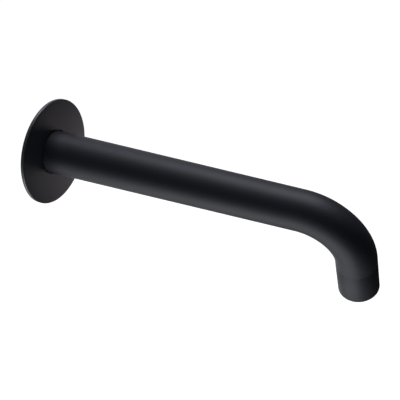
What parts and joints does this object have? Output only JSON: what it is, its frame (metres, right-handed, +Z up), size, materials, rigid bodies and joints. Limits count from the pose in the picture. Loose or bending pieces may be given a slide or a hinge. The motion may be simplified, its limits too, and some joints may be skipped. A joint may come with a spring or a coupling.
{
  "type": "wall-mounted spout",
  "caption": "Wall-mounted water spout: thin round wall flange, straight tapered tube bent down at its end, and a short nozzle that holds an aerator.",
  "frame": {"origin": "where the tube's axis meets the wall, at the back of the flange", "axes": "+X out of the wall along the tube, +Z up, the outlet points along -Z"},
  "size_m": [0.2122, 0.067, 0.0909],
  "materials": {
    "coating": "smooth satin black coating on brass",
    "brass": "machined, uncoated",
    "fibre": "flat sealing fibre",
    "seal": "smooth black rubber",
    "foam": "soft closed-cell sheet",
    "casing": "moulded",
    "mesh": "bright mesh",
    "regulator": "moulded"
  },
  "bodies": {
    "root": {"spout_tube": "coating", "wall_flange": "coating", "nozzle": "coating", "inlet_bush": "brass", "inlet_washer": "fibre", "flange_o_ring": "seal", "wall_gasket": "foam", "outlet_bush": "brass", "nozzle_washer": "seal", "aerator_body": "casing", "lower_screen": "mesh", "upper_screen": "mesh", "jet_plate": "casing", "flow_regulator": "regulator", "regulator_ring": "seal", "strainer": "casing"}
  },
  "joints": []
}
